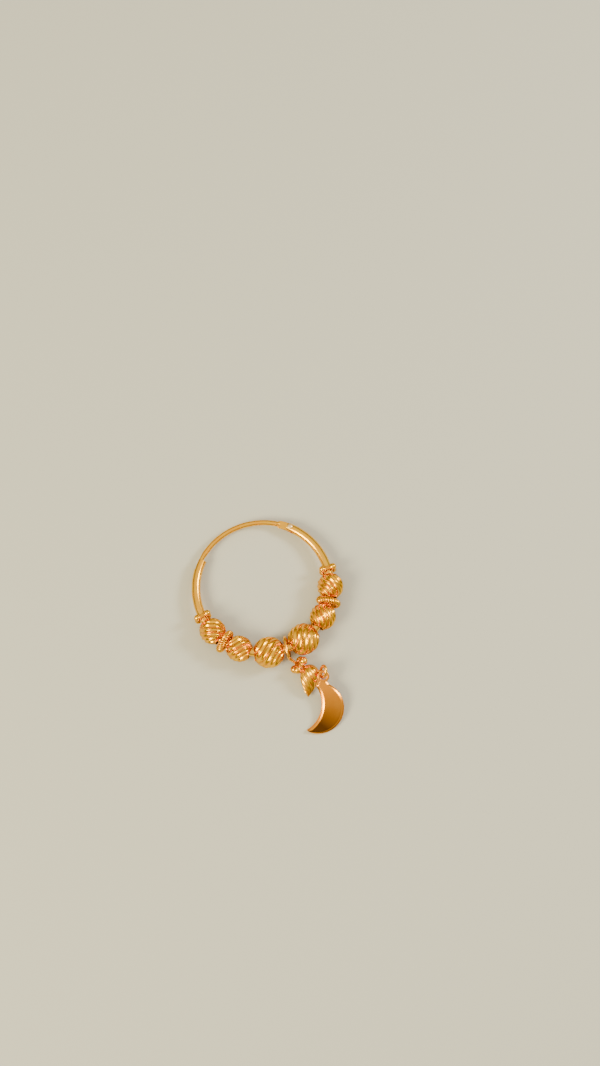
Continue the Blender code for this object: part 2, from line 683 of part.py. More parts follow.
def drop_profile(latitude):
    """Teardrop: height by the cosine of the way round, girth by its sine and its half's sine.

    The product of the two sines is divided by its own peak, so that the girth reaches the radius.
    """
    way = math.pi / 2.0 - latitude
    height = DROP_LENGTH * (1.0 + math.cos(way)) / 2.0
    peak = 4.0 / (3.0 * math.sqrt(3.0))
    girth = DROP_RADIUS * math.sin(way) * math.sin(way / 2.0) / peak
    return height, girth


def fluted_drop():
    """Fluted drop, round above and pointed below, drilled across near its top for the wire."""
    def build(work):
        bmesh.ops.create_uvsphere(work, u_segments=2 * FLUTE_COUNT, v_segments=14, radius=DROP_RADIUS)
        flute(work, DROP_RADIUS, DROP_FLUTE_DEPTH, DROP_FLUTE_TWIST, drop_profile)
        bmesh.ops.recalc_face_normals(work, faces=work.faces)

    across = Vector((0.0, 0.0, 1.0)).cross(drop_axis).normalized()
    frame = Matrix((across, drop_axis.cross(across), drop_axis)).transposed().to_4x4()
    frame.translation = drop_top
    drop = add_part("fluted_drop", mesh_from("fluted_drop", build), bead_gold, earring, frame)

    turn = Vector((0.0, 0.0, 1.0)).rotation_difference(bore_along)
    place = Matrix.Translation(drop_bore_centre) @ turn.to_matrix().to_4x4()
    bore_radius = DANGLE_WIRE_RADIUS + DROP_BORE_CLEARANCE
    bore = cylinder_mesh("drop_bore", bore_radius, THROUGH_CUT, PIN_SIDES)
    combine(drop, 'DIFFERENCE', add_operand("drop_bore", bore, earring, place))


dangle_wire()
fluted_drop()


def stand_on_floor():
    """Move the whole earring so that the middle of its box's underside is the origin."""
    bpy.context.view_layer.update()
    graph = bpy.context.evaluated_depsgraph_get()
    corners = []
    for part in parts.objects:
        if part.type == 'MESH':
            solid = part.evaluated_get(graph)
            corners += [solid.matrix_world @ vertex.co for vertex in solid.data.vertices]
    places = np.array(corners)
    low, high = places.min(axis=0), places.max(axis=0)
    middle = (low + high) / 2.0
    earring.location = (-middle[0], -middle[1], -low[2])
    bpy.context.view_layer.update()


stand_on_floor()
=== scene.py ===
"""Gold hoop earring lying on its side: hoop tube, hinged ear wire, cut beads, rope rings and a crescent.

Lengths are metres. Turns round the hoop are counted from +X towards +Y, in degrees.
"""
import json
import math

import bmesh
import bpy
import numpy as np
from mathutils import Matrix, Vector


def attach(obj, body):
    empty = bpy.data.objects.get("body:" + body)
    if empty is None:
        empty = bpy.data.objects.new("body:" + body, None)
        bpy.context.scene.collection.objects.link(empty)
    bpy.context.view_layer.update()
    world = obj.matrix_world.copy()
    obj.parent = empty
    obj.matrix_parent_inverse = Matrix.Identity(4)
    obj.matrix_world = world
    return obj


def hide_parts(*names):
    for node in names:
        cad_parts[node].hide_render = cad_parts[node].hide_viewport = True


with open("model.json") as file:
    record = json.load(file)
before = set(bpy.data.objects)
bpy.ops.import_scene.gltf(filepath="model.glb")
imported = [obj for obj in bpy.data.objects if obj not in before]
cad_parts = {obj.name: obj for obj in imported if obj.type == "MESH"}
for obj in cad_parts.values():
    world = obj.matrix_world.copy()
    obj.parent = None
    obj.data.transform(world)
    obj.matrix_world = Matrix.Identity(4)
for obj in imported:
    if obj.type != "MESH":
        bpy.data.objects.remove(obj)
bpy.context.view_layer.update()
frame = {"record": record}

# The hoop's plane. The hoop lies tilted on the beads that carry it, so that its wire side is lower.
# Everything on the tube is placed by its turn round the hoop, which the hinge's axis and place give.
HOOP_RADIUS = 0.00875
HINGE_TURN = 66.5
hinge_joint = frame["record"]["behaviour"]["joints"][0]
hinge_place = np.array(hinge_joint["pos_m"])
hoop_up = -Vector(hinge_joint["axis"])
hoop_turning = np.array(Vector((0.0, 0.0, 1.0)).rotation_difference(hoop_up).to_matrix())
hinge_angle = math.radians(HINGE_TURN)
hinge_arm = HOOP_RADIUS * np.array([math.cos(hinge_angle), math.sin(hinge_angle), 0.0])
hoop_centre = hinge_place - hoop_turning @ hinge_arm


def joined(x, y, z):
    """Points from their three coordinates, each a number or a grid."""
    return np.stack(np.broadcast_arrays(x, y, z), axis=-1)


def on_hoop(turn, outwards, upwards):
    """Points of the hoop: a circle of the hoop's radius plus outwards, at the turn, raised upwards."""
    angle = np.radians(turn)
    reach = HOOP_RADIUS + outwards
    return hoop_centre + joined(reach * np.cos(angle), reach * np.sin(angle), upwards) @ hoop_turning.T


def turn_of(length):
    """Turn in degrees that a length along the hoop's centre line covers."""
    return np.degrees(length / HOOP_RADIUS)


def full_turn(steps):
    """Angles of a full turn in even steps, without the last, which is the first again."""
    return np.linspace(0.0, math.tau, steps, endpoint=False)


# Hoop tube: thin-walled gold tube bent round the ear, drawn through a plate and hand polished.
# Its far end is sawn open as a fork for the ear wire's paddle, and its near end, the mouth, is cut
# open on its outer side to take the wire's tip.
TUBE_RADIUS = 0.000575
MOUTH_TURN = 155.8
GROOVE_HALF = 0.0004
GROOVE_FLOOR = -0.000238
GROOVE_LENGTH = 0.001365
FORK_START = -0.00064
FORK_OVERLAP = 0.00008
FORK_GAP_HALF = 0.00027
FORK_ROUND = 0.0005

# A mesh's points nearer than the first become one, its edges shorter than the second are dissolved,
# and where it bends by more degrees than the third it stays sharp.
MERGE_DISTANCE = 2e-7
DISSOLVE_LENGTH = 1e-8
SHARP_BEND = 46.0


def make_piece(name, shells, finish, body, node):
    """One mesh from several shells of points, riding on a body in the place of a CAD node.

    A shell is a grid of points in rows and columns, whether its rows and its columns close on
    themselves, and how much painted shade each point takes, from 0 to 1. Each square of the grid is a
    face.
    Points that fall together at seams and poles are merged.
    """
    places, painted_shades, squares, first = [], [], [], 0
    for points, rows_close, columns_close, painted_shade in shells:
        rows, columns = points.shape[:2]
        row, column = np.meshgrid(np.arange(rows if rows_close else rows - 1),
                                  np.arange(columns if columns_close else columns - 1), indexing="ij")
        next_row, next_column = (row + 1) % rows, (column + 1) % columns
        corners = (row * columns + column, row * columns + next_column,
                   next_row * columns + next_column, next_row * columns + column)
        squares.append(first + np.stack(corners, axis=-1).reshape(-1, 4))
        places.append(points.reshape(-1, 3))
        painted_shades.append(np.broadcast_to(painted_shade, (rows, columns)).reshape(-1))
        first += rows * columns
    places, squares = np.concatenate(places), np.concatenate(squares)
    mesh = bpy.data.meshes.new(name)
    mesh.vertices.add(len(places))
    mesh.vertices.foreach_set("co", places.astype(np.float32).ravel())
    mesh.loops.add(squares.size)
    mesh.loops.foreach_set("vertex_index", squares.astype(np.int32).ravel())
    mesh.polygons.add(len(squares))
    mesh.polygons.foreach_set("loop_start", np.arange(0, squares.size, 4, dtype=np.int32))
    mesh.update(calc_edges=True)
    # Each point's painted shade, from 0 to 1, which its finish mixes into the colour as shade.
    painted_shade_layer = mesh.attributes.new("painted_shade", "FLOAT", "POINT")
    painted_shade_layer.data.foreach_set("value", np.concatenate(painted_shades).astype(np.float32))
    work = bmesh.new()
    work.from_mesh(mesh)
    bmesh.ops.remove_doubles(work, verts=work.verts, dist=MERGE_DISTANCE)
    bmesh.ops.dissolve_degenerate(work, edges=work.edges, dist=DISSOLVE_LENGTH)
    bmesh.ops.recalc_face_normals(work, faces=work.faces)
    work.to_mesh(mesh)
    work.free()
    mesh.shade_smooth()
    mesh.set_sharp_from_angle(angle=math.radians(SHARP_BEND))
    piece = bpy.data.objects.new(name, mesh)
    bpy.context.scene.collection.objects.link(piece)
    mesh.materials.append(finish)
    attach(piece, body)
    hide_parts(node)


def link_sockets(tree, *pairs):
    """Join each pair of sockets, from the first to the second."""
    for source, target in pairs:
        tree.links.new(source, target)


def polish_marks_group():
    """Marks that a polishing wheel and wear leave on gold, built once for every finish.

    Hazy is a slow noise for smears on the polish. Height is a quick noise with fine hair scratches.
    """
    group = bpy.data.node_groups.new("polish_marks", "ShaderNodeTree")
    for name, way, kind in (("Place", "INPUT", "NodeSocketVector"),
                            ("Smear scale", "INPUT", "NodeSocketFloat"),
                            ("Scratch scale", "INPUT", "NodeSocketFloat"),
                            ("Hazy", "OUTPUT", "NodeSocketFloat"),
                            ("Height", "OUTPUT", "NodeSocketFloat")):
        group.interface.new_socket(name, in_out=way, socket_type=kind)
    entry = group.nodes.new("NodeGroupInput")
    leave = group.nodes.new("NodeGroupOutput")
    smear = group.nodes.new("ShaderNodeTexNoise")
    smear.inputs["Detail"].default_value = 3.0
    scratch = group.nodes.new("ShaderNodeTexNoise")
    scratch.inputs["Detail"].default_value = 4.0
    scratch.inputs["Roughness"].default_value = 0.62
    spread = group.nodes.new("ShaderNodeMapRange")
    spread.inputs["From Min"].default_value = 0.34
    spread.inputs["From Max"].default_value = 0.68
    link_sockets(group,
                 (entry.outputs["Place"], smear.inputs["Vector"]),
                 (entry.outputs["Place"], scratch.inputs["Vector"]),
                 (entry.outputs["Smear scale"], smear.inputs["Scale"]),
                 (entry.outputs["Scratch scale"], scratch.inputs["Scale"]),
                 (smear.outputs["Fac"], spread.inputs["Value"]),
                 (spread.outputs["Result"], leave.inputs["Hazy"]),
                 (scratch.outputs["Fac"], leave.inputs["Height"]))
    return group


polish_marks = polish_marks_group()


def gold_finish(name, bright, warm, painted_shade_color, gloss, haze, smear_scale, scratch_scale, scratch_depth):
    """Gold that shifts between a bright and a warm tone, hazes in smears and darkens where its points
    carry painted shade.
    """
    material = bpy.data.materials.new(name)
    material.use_nodes = True
    tree = material.node_tree
    shader = tree.nodes["Principled BSDF"]
    shader.inputs["Metallic"].default_value = 1.0
    place = tree.nodes.new("ShaderNodeTexCoord")
    marks = tree.nodes.new("ShaderNodeGroup")
    marks.node_tree = polish_marks
    marks.inputs["Smear scale"].default_value = smear_scale
    marks.inputs["Scratch scale"].default_value = scratch_scale
    tone = tree.nodes.new("ShaderNodeMix")
    tone.data_type = "RGBA"
    tone.inputs["A"].default_value = (*bright, 1.0)
    tone.inputs["B"].default_value = (*warm, 1.0)
    # Painted shade: where the points carry it, the colour is mixed towards a dark shade colour.
    painted_shade = tree.nodes.new("ShaderNodeAttribute")
    painted_shade.attribute_name = "painted_shade"
    shade_mix = tree.nodes.new("ShaderNodeMix")
    shade_mix.data_type = "RGBA"
    shade_mix.inputs["B"].default_value = (*painted_shade_color, 1.0)
    rough = tree.nodes.new("ShaderNodeMapRange")
    rough.inputs["To Min"].default_value = gloss
    rough.inputs["To Max"].default_value = haze
    bump = tree.nodes.new("ShaderNodeBump")
    bump.inputs["Strength"].default_value = 1.0
    bump.inputs["Distance"].default_value = scratch_depth
    link_sockets(tree,
                 (place.outputs["Object"], marks.inputs["Place"]),
                 (marks.outputs["Hazy"], tone.inputs["Factor"]),
                 (tone.outputs["Result"], shade_mix.inputs["A"]),
                 (painted_shade.outputs["Fac"], shade_mix.inputs["Factor"]),
                 (shade_mix.outputs["Result"], shader.inputs["Base Color"]),
                 (marks.outputs["Hazy"], rough.inputs["Value"]),
                 (rough.outputs["Result"], shader.inputs["Roughness"]),
                 (marks.outputs["Height"], bump.inputs["Height"]),
                 (bump.outputs["Normal"], shader.inputs["Normal"]))
    return material


tube_finish = gold_finish("polished_tube_gold", bright=(1.0, 0.56, 0.05), warm=(0.96, 0.44, 0.025),
                          painted_shade_color=(0.36, 0.12, 0.02), gloss=0.14, haze=0.3, smear_scale=900.0,
                          scratch_scale=16000.0, scratch_depth=0.0000025)


def forked_tube():
    """Tube with its mouth and fork, each row a section at one turn round the hoop.

    A section has an arc part, round the back of the tube from lip to lip, and a lip part. The lip
    part runs down one wall of the mouth's groove, over its floor and up the other wall, and past
    the groove it closes the circle. The fork's two prongs are circle segments above and below the
    gap, whose ends are cut round about the pin.
    """
    count = 40
    lip = math.asin(GROOVE_HALF / TUBE_RADIUS)
    back = np.linspace(lip, math.tau - lip, count)
    front = np.linspace(-lip, lip, count)[1:-1]
    arc_out, arc_up = TUBE_RADIUS * np.cos(back), TUBE_RADIUS * np.sin(back)
    way, corners = np.linspace(0.0, 3.0, count), [0.0, 1.0, 2.0, 3.0]
    wall_top = TUBE_RADIUS * math.cos(lip)
    notch_out = np.interp(way, corners, [wall_top, GROOVE_FLOOR, GROOVE_FLOOR, wall_top])
    notch_up = np.interp(way, corners, [-GROOVE_HALF, -GROOVE_HALF, GROOVE_HALF, GROOVE_HALF])
    open_out, open_up = np.append(arc_out, notch_out[1:-1]), np.append(arc_up, notch_up[1:-1])
    round_out = np.append(arc_out, TUBE_RADIUS * np.cos(front))
    round_up = np.append(arc_up, TUBE_RADIUS * np.sin(front))
    groove_end = MOUTH_TURN + turn_of(GROOVE_LENGTH)
    fork_turn = 360.0 + HINGE_TURN + turn_of(FORK_START)
    groove_rows = on_hoop(np.linspace(MOUTH_TURN, groove_end, 16)[:, None], open_out, open_up)
    long_rows = on_hoop(np.linspace(groove_end, fork_turn, 420)[:, None], round_out, round_up)
    fork_floor = on_hoop(fork_turn, np.zeros((1, len(round_out))), 0.0)
    tube = np.concatenate([groove_rows, long_rows, fork_floor])
    mouth_face = np.stack([on_hoop(MOUTH_TURN, arc_out, arc_up),
                           on_hoop(MOUTH_TURN, notch_out[::-1], notch_up[::-1])])
    shells = [(tube, False, True, 0.0), (mouth_face, False, False, 0.0)]

    along = np.concatenate([np.linspace(FORK_START - FORK_OVERLAP, 0.0, 12),
                            FORK_ROUND * np.sin(np.linspace(0.0, math.pi / 2.0, 16))[1:]])
    straight_half = math.sqrt(TUBE_RADIUS ** 2 - FORK_GAP_HALF ** 2)
    round_half = np.sqrt(np.maximum(FORK_ROUND ** 2 - np.maximum(along, 0.0) ** 2, 0.0))
    half = np.where(along < 0.0, straight_half, round_half)[:, None]
    across = half * np.cos(np.linspace(0.0, math.pi, 28))
    crown = np.sqrt(np.maximum(TUBE_RADIUS ** 2 - across ** 2, FORK_GAP_HALF ** 2))
    turns = 360.0 + HINGE_TURN + turn_of(along)[:, None]
    prong_out = np.concatenate([across, across[:, ::-1]], axis=1)
    prong_up = np.concatenate([crown, np.full_like(crown, FORK_GAP_HALF)], axis=1)
    for side in (1.0, -1.0):
        shells.append((on_hoop(turns, prong_out, side * prong_up), False, True, 0.0))
    return shells


make_piece("forked_tube", forked_tube(), tube_finish, "hoop", "hoop_tube")

# Ear wire: hard, springy gold wire that goes through the ear. One end is hammered flat to a paddle
# and drilled for the pin, the other is filed thinner and springs into the tube's mouth.
WIRE_RADIUS = 0.00035
TIP_RADIUS = 0.00027
TIP_TAPER = 0.0009
TIP_INSERT = 0.0011
SEAT_OUTWARDS = 0.0002
PADDLE_HALF_WIDTH = 0.00052
PADDLE_HALF_THICKNESS = 0.00015
PADDLE_BEVEL = 0.00009
PADDLE_LENGTH = 0.00185
NECK_START = 0.00102
NECK_LENGTH = 0.00092
NECK_RADIUS = 0.00012
PIN_HOLE_RADIUS = 0.0003


def ear_wire_shells():
    """Paddle and wire.

    The paddle is a ring of points round the pin's hole. Each ray leaves the hole on top, crosses to
    the paddle's outline, goes down its rounded edge and comes back below. The outline is a round
    end, two sides and a round far end. The wire is a circle carried along the hoop, whose radius
    swells from the neck and tapers to a rounded tip, and which drifts outwards to its seat.
    """
    rays = full_turn(144)
    shoulder = PADDLE_LENGTH - PADDLE_HALF_WIDTH
    ray_along, ray_out = np.cos(rays), np.sin(rays)
    side_reach = PADDLE_HALF_WIDTH / np.maximum(np.abs(ray_out), 1e-9)
    far_root = np.sqrt(np.maximum(PADDLE_HALF_WIDTH ** 2 - (shoulder * ray_out) ** 2, 0.0))
    far_reach = shoulder * ray_along + far_root
    on_sides = (side_reach * ray_along > 0.0) & (side_reach * ray_along < shoulder)
    outline = np.where(ray_along <= 0.0, PADDLE_HALF_WIDTH, np.where(on_sides, side_reach, far_reach))
    edge = np.linspace(math.pi / 2.0, -math.pi / 2.0, 9)[:, None]
    rim_reach = outline - PADDLE_BEVEL + PADDLE_BEVEL * np.cos(edge)
    rim_up = PADDLE_HALF_THICKNESS * np.sin(edge)
    share = np.linspace(0.0, 1.0, 10)[:, None]
    flat_reach = PIN_HOLE_RADIUS + (outline - PADDLE_BEVEL - PIN_HOLE_RADIUS) * share
    flat_up = np.full((len(share) - 1, 1), PADDLE_HALF_THICKNESS)
    reach = np.concatenate([flat_reach[:-1], rim_reach, flat_reach[::-1][1:]])
    up = np.concatenate([flat_up, rim_up, -flat_up])
    paddle = on_hoop(HINGE_TURN + turn_of(reach * ray_along), reach * ray_out, up)

    neck, tip = HINGE_TURN + turn_of(NECK_START), MOUTH_TURN + turn_of(TIP_INSERT)
    turns = np.linspace(neck, tip, 180)
    from_neck = np.radians(turns - neck) * HOOP_RADIUS
    to_tip = np.radians(tip - turns) * HOOP_RADIUS
    slim = np.clip((to_tip - TIP_INSERT) / TIP_TAPER, 0.0, 1.0)
    thick = TIP_RADIUS + (WIRE_RADIUS - TIP_RADIUS) * slim
    swell = np.clip(from_neck / NECK_LENGTH, 0.0, 1.0)
    radius = NECK_RADIUS + (thick - NECK_RADIUS) * swell * swell * (3.0 - 2.0 * swell)
    drift = SEAT_OUTWARDS * ((turns - neck) / (tip - neck)) ** 2
    nose = np.linspace(0.0, math.pi / 2.0, 9)[1:]
    turns = np.concatenate([turns[:1], turns, tip + turn_of(TIP_RADIUS / 2.0 * np.sin(nose))])
    radius = np.concatenate([[0.0], radius, TIP_RADIUS * np.cos(nose)])[:, None]
    drift = np.concatenate([drift[:1], drift, np.full(len(nose), SEAT_OUTWARDS)])[:, None]
    ring = full_turn(40)
    wire = on_hoop(turns[:, None], drift + radius * np.cos(ring), radius * np.sin(ring))
    return [(paddle, True, True, 0.0), (wire, False, True, 0.0)]


wire_finish = gold_finish("springy_wire_gold", bright=(1.0, 0.55, 0.04), warm=(0.96, 0.43, 0.02),
                          painted_shade_color=(0.36, 0.12, 0.02), gloss=0.16, haze=0.3, smear_scale=1200.0,
                          scratch_scale=18000.0, scratch_depth=0.000003)
make_piece("springy_ear_wire", ear_wire_shells(), wire_finish, "wire", "ear_wire")

# Hinge pin: a bit of gold wire through the fork and the paddle, its ends spread to low round heads.
# Its gold is painted paler and whiter all over, a painted highlight for the glint on its upper head.
PIN_RADIUS = 0.0002
PIN_HEAD_RADIUS = 0.00031
PIN_HEAD_HEIGHT = 0.00012
PIN_HEAD_GAP = 0.00008
PIN_HEAD_EDGE_SHARE = 0.15


def riveted_pin():
    """Profile turned about the hinge's axis: a thin shank between two domed heads."""
    seat = TUBE_RADIUS + PIN_HEAD_GAP
    dome = np.linspace(0.0, math.pi / 2.0, 12)
    rise = PIN_HEAD_EDGE_SHARE + (1.0 - PIN_HEAD_EDGE_SHARE) * np.sin(dome)
    head_radius = np.append(PIN_RADIUS, PIN_HEAD_RADIUS * np.cos(dome))
    head_up = np.append(seat, seat + PIN_HEAD_HEIGHT * rise)
    radius = np.concatenate([head_radius[::-1], head_radius])[:, None]
    up = np.concatenate([-head_up[::-1], head_up])[:, None]
    ring = full_turn(40)
    turned = joined(radius * np.cos(ring), radius * np.sin(ring), up)
    return [(hinge_place + turned @ hoop_turning.T, False, True, 0.0)]


# Painted highlight: a paler, whiter gold on the whole pin stands in for the glint on its head.
highlight_pin_finish = gold_finish("pale_highlight_pin_gold", bright=(1.0, 0.78, 0.55), warm=(1.0, 0.72, 0.44),
                            painted_shade_color=(0.4, 0.2, 0.08), gloss=0.3, haze=0.42, smear_scale=2400.0,
                            scratch_scale=20000.0, scratch_depth=0.000003)
make_piece("riveted_pin", riveted_pin(), highlight_pin_finish, "hoop", "hinge_pin")

# Fluted beads: hollow gold balls, threaded on the tube. A cutting wheel has scooped leaf-shaped
# flutes into each, twelve round it, mirror bright, and the hole's edges are rolled outwards.
SMALL_BEAD_RADIUS = 0.00172
BIG_BEAD_RADIUS = 0.00206
HOLE_RADII = {SMALL_BEAD_RADIUS: 0.000823, BIG_BEAD_RADIUS: 0.00087}
HOLE_ROLL = 0.00007
BORE_SHARE = 0.9
FLUTE_COUNT = 12
FLUTE_DEPTH = 0.00024
FLUTE_SHIFT = 0.22
FLUTE_REACH = 1.1
FLUTE_SIDE_LOSS = 0.86
FLUTE_TWIST = 1.28
# Painted shade darkens the colour of the uncut ridges between flutes and of the bore inside the hole.
RIDGE_SHADE = 0.6
BORE_SHADE = 0.8

# Each bead: its name, its CAD node, its turn round the hoop, its radius and how far its first flute
# is from the top, as a share of the way from flute to flute
BEADS = [
    ("cut_bead_1", "fluted_bead_1", 222.245, SMALL_BEAD_RADIUS, 0.1),
    ("cut_bead_2", "fluted_bead_2", 249.814, SMALL_BEAD_RADIUS, 0.7),
    ("cut_bead_3", "fluted_bead_3", 275.433, BIG_BEAD_RADIUS, 0.4),
    ("cut_bead_4", "fluted_bead_4", 307.038, BIG_BEAD_RADIUS, 0.0),
    ("cut_bead_5", "fluted_bead_5", 332.658, SMALL_BEAD_RADIUS, 0.3),
    ("cut_bead_6", "fluted_bead_6", 360.226, SMALL_BEAD_RADIUS, 0.9),
]


def threaded(turn, outwards, downwards, along):
    """Points round a spot of the tube's centre line, from their distances in that spot's own frame."""
    angle = math.radians(turn)
    axes = np.array([[math.cos(angle), math.sin(angle), 0.0], [0.0, 0.0, -1.0],
                     [-math.sin(angle), math.cos(angle), 0.0]])
    return on_hoop(turn, 0.0, 0.0) + joined(outwards, downwards, along) @ axes @ hoop_turning.T


def fluted_skin(latitude, meridian, twist, phase):
    """How deep a flute is cut, from 0 to 1, at a latitude and a meridian.

    The meridian shifts by the twist times the sine of the latitude. Along a flute the depth falls
    with the square of the way from its middle to its point, and across it with the square of the
    way to its side, which makes a leaf. Every second leaf sits nearer to the other pole.
    """
    step = FLUTE_COUNT * (meridian + twist * np.sin(latitude)) / math.tau + phase
    across = 2.0 * (step % 1.0) - 1.0
    shift = FLUTE_SHIFT * (1.0 - 2.0 * (np.floor(step) % 2.0))
    along = (latitude - shift) / FLUTE_REACH
    return np.maximum(1.0 - along ** 2 - FLUTE_SIDE_LOSS * across ** 2, 0.0)


def ridge_shade(cut):
    """Painted shade on the ridges between flutes: nine tenths of its most uncut, none where cut 0.3 deep.
    """
    return RIDGE_SHADE * np.clip(0.9 - 3.0 * cut, 0.0, 1.0)


def cut_bead(turn, radius, phase):
    """Ball with its flutes and its hole: the skin from rim to rim, the rolled rims, and the bore."""
    hole = HOLE_RADII[radius]
    edge = math.acos((hole + HOLE_ROLL) / radius)
    half_length = radius * math.sin(edge)
    meridian = full_turn(24 * FLUTE_COUNT)[None]
    latitude = np.linspace(-edge, edge, 84)[:, None]
    cut = fluted_skin(latitude, meridian, FLUTE_TWIST, phase)
    reach = radius - FLUTE_DEPTH * cut
    skin_out, skin_along = reach * np.cos(latitude), reach * np.sin(latitude)
    roll = np.linspace(0.0, math.pi, 9)[1:, None]
    rim_out = hole + HOLE_ROLL + HOLE_ROLL * np.cos(roll) + 0.0 * meridian
    rim_along = half_length + HOLE_ROLL * np.sin(roll) + 0.0 * meridian
    bore_along = np.linspace(BORE_SHARE, -BORE_SHARE, 6)[:, None] * half_length + 0.0 * meridian
    bore_out = np.full_like(bore_along, hole)
    out = np.concatenate([skin_out, rim_out, bore_out, rim_out[::-1]])
    along = np.concatenate([skin_along, rim_along, bore_along, -rim_along[::-1]])
    # The rolled rims get no painted shade, and the bore is darkened by painted shade.
    unshaded_rim = np.zeros_like(rim_out)
    shaded_bore = np.full_like(bore_out, BORE_SHADE)
    painted_shade = np.concatenate([ridge_shade(cut), unshaded_rim, shaded_bore, unshaded_rim])
    points = threaded(turn, out * np.cos(meridian), out * np.sin(meridian), along)
    return [(points, True, True, painted_shade)]


cut_finish = gold_finish("bright_cut_gold", bright=(1.0, 0.54, 0.008), warm=(1.0, 0.44, 0.002),
                         painted_shade_color=(0.5, 0.17, 0.001), gloss=0.16, haze=0.3, smear_scale=1500.0,
                         scratch_scale=14000.0, scratch_depth=0.000006)
for piece_name, node, turn, radius, phase in BEADS:
    make_piece(piece_name, cut_bead(turn, radius, phase), cut_finish, "hoop", node)

# Rope rings: two gold wires twisted together, bent to a ring and soldered, loose on the tube.
# Their ridges run slantwise round the ring.
ROPE_RADIUS = 0.00046
ROPE_PITCH_RADIUS = 0.001175
ROPE_RIDGES = 26
ROPE_RIDGE_DEPTH = 0.00013
ROPE_RIDGE_ROUNDING = 0.8
ROPE_SLANT = 4.0
ROPE_RINGS = [
    ("twisted_ring_1", "rope_ring_1", 236.029),
    ("twisted_ring_2", "rope_ring_2", 346.442),
]


def rope_ring(turn):
    """Ring whose section shrinks between ridges, which turn slantwise over the section on their way.

    A groove's depth is 1 less a power of the sine below 1, which keeps it narrow and the ridge round.
    """
    round_ring = full_turn(16 * ROPE_RIDGES)[:, None]
    round_section = full_turn(40)[None]
    ridge_way = (ROPE_RIDGES * round_ring + ROPE_SLANT * round_section) / 2.0
    groove = 1.0 - np.abs(np.sin(ridge_way)) ** ROPE_RIDGE_ROUNDING
    radius = ROPE_RADIUS - ROPE_RIDGE_DEPTH * groove
    reach = ROPE_PITCH_RADIUS + radius * np.cos(round_section)
    points = threaded(turn, reach * np.cos(round_ring), reach * np.sin(round_ring),
                      radius * np.sin(round_section))
    # Painted shade darkens the grooves between the ridges.
    return [(points, True, True, np.clip(2.0 * groove - 0.4, 0.0, 1.0))]


for piece_name, node, turn in ROPE_RINGS:
    make_piece(piece_name, rope_ring(turn), cut_finish, "hoop", node)

# Granule spacers: a short gold band with four small gold balls soldered round it. Two are on the
# tube, at the ends of the row of beads, and one is on the dangle's wire, where its balls look fuller.
GRANULE_RADIUS = 0.00045
DANGLE_GRANULE_RADIUS = 0.00053
GRANULE_PITCH_RADIUS = 0.00098
GRANULE_TURN = 45.0
SPACER_BORE_RADIUS = 0.000715
BAND_RADIUS = 0.00092
BAND_HALF_WIDTH = 0.00025
BAND_SQUARENESS = 0.4
# Painted shade darkens the band, which sits between and under the granules.
BAND_SHADE = 0.5
TUBE_SPACERS = [
    ("spacer_band_1", "granule_spacer_1", 206.9),
    ("spacer_band_2", "granule_spacer_2", 375.571),
]
DANGLE_SPACER_CENTRE = np.array([0.00412, -0.0052599, 0.0011276])
DANGLE_SPACER_AXIS = np.array([0.79019, -0.508549, -0.3420202])


def squared(wave, power):
    """Sine or cosine raised to a power below 1 with its sign kept, which squares a circle's sides."""
    return np.sign(wave) * np.abs(wave) ** power


def granule_spacer(place, granule_radius):
    """Band and granules, as place carries them.

    The band's section is a box with rounded corners. Each granule is a ball, and where it would
    reach into the bore it is cut to the bore's radius.
    """
    ring = full_turn(120)[:, None]
    loop = full_turn(28)[None]
    middle, half = (BAND_RADIUS + SPACER_BORE_RADIUS) / 2.0, (BAND_RADIUS - SPACER_BORE_RADIUS) / 2.0
    reach = middle + half * squared(np.cos(loop), BAND_SQUARENESS)
    band_along = BAND_HALF_WIDTH * squared(np.sin(loop), BAND_SQUARENESS)
    band = place(reach * np.cos(ring), reach * np.sin(ring), band_along)
    shells = [(band, True, True, BAND_SHADE)]
    rise = np.linspace(-math.pi / 2.0, math.pi / 2.0, 28)[:, None]
    around = full_turn(48)[None]
    ball_side = granule_radius * np.cos(rise) * np.cos(around)
    ball_out = GRANULE_PITCH_RADIUS + granule_radius * np.cos(rise) * np.sin(around)
    ball_along = granule_radius * np.sin(rise)
    for quarter in range(4):
        turn = math.radians(GRANULE_TURN + 90.0 * quarter)
        x = ball_out * math.cos(turn) - ball_side * math.sin(turn)
        y = ball_out * math.sin(turn) + ball_side * math.cos(turn)
        grow = np.maximum(SPACER_BORE_RADIUS / np.hypot(x, y), 1.0)
        shells.append((place(x * grow, y * grow, ball_along), False, True, 0.0))
    return shells


def axes_about(axis):
    """Three directions square to each other: a level one, the one square to both, and the axis."""
    side = np.cross([0.0, 0.0, 1.0], axis)
    side /= np.linalg.norm(side)
    return np.stack([side, np.cross(axis, side), axis])


def on_dangle(x, y, z):
    """Points round the dangle's spacer: across it, down, and along its axis."""
    return DANGLE_SPACER_CENTRE + joined(x, y, z) @ axes_about(DANGLE_SPACER_AXIS)


granule_finish = gold_finish("granule_gold", bright=(1.0, 0.53, 0.015), warm=(1.0, 0.44, 0.006),
                             painted_shade_color=(0.6, 0.21, 0.002), gloss=0.12, haze=0.24, smear_scale=1500.0,
                             scratch_scale=16000.0, scratch_depth=0.000004)
for piece_name, node, turn in TUBE_SPACERS:
    tube_spacer = granule_spacer(lambda x, y, z: threaded(turn, x, y, z), GRANULE_RADIUS)
    make_piece(piece_name, tube_spacer, granule_finish, "hoop", node)
dangle_spacer = granule_spacer(on_dangle, DANGLE_GRANULE_RADIUS)
make_piece("spacer_band_3", dangle_spacer, granule_finish, "hoop", "granule_spacer_3")

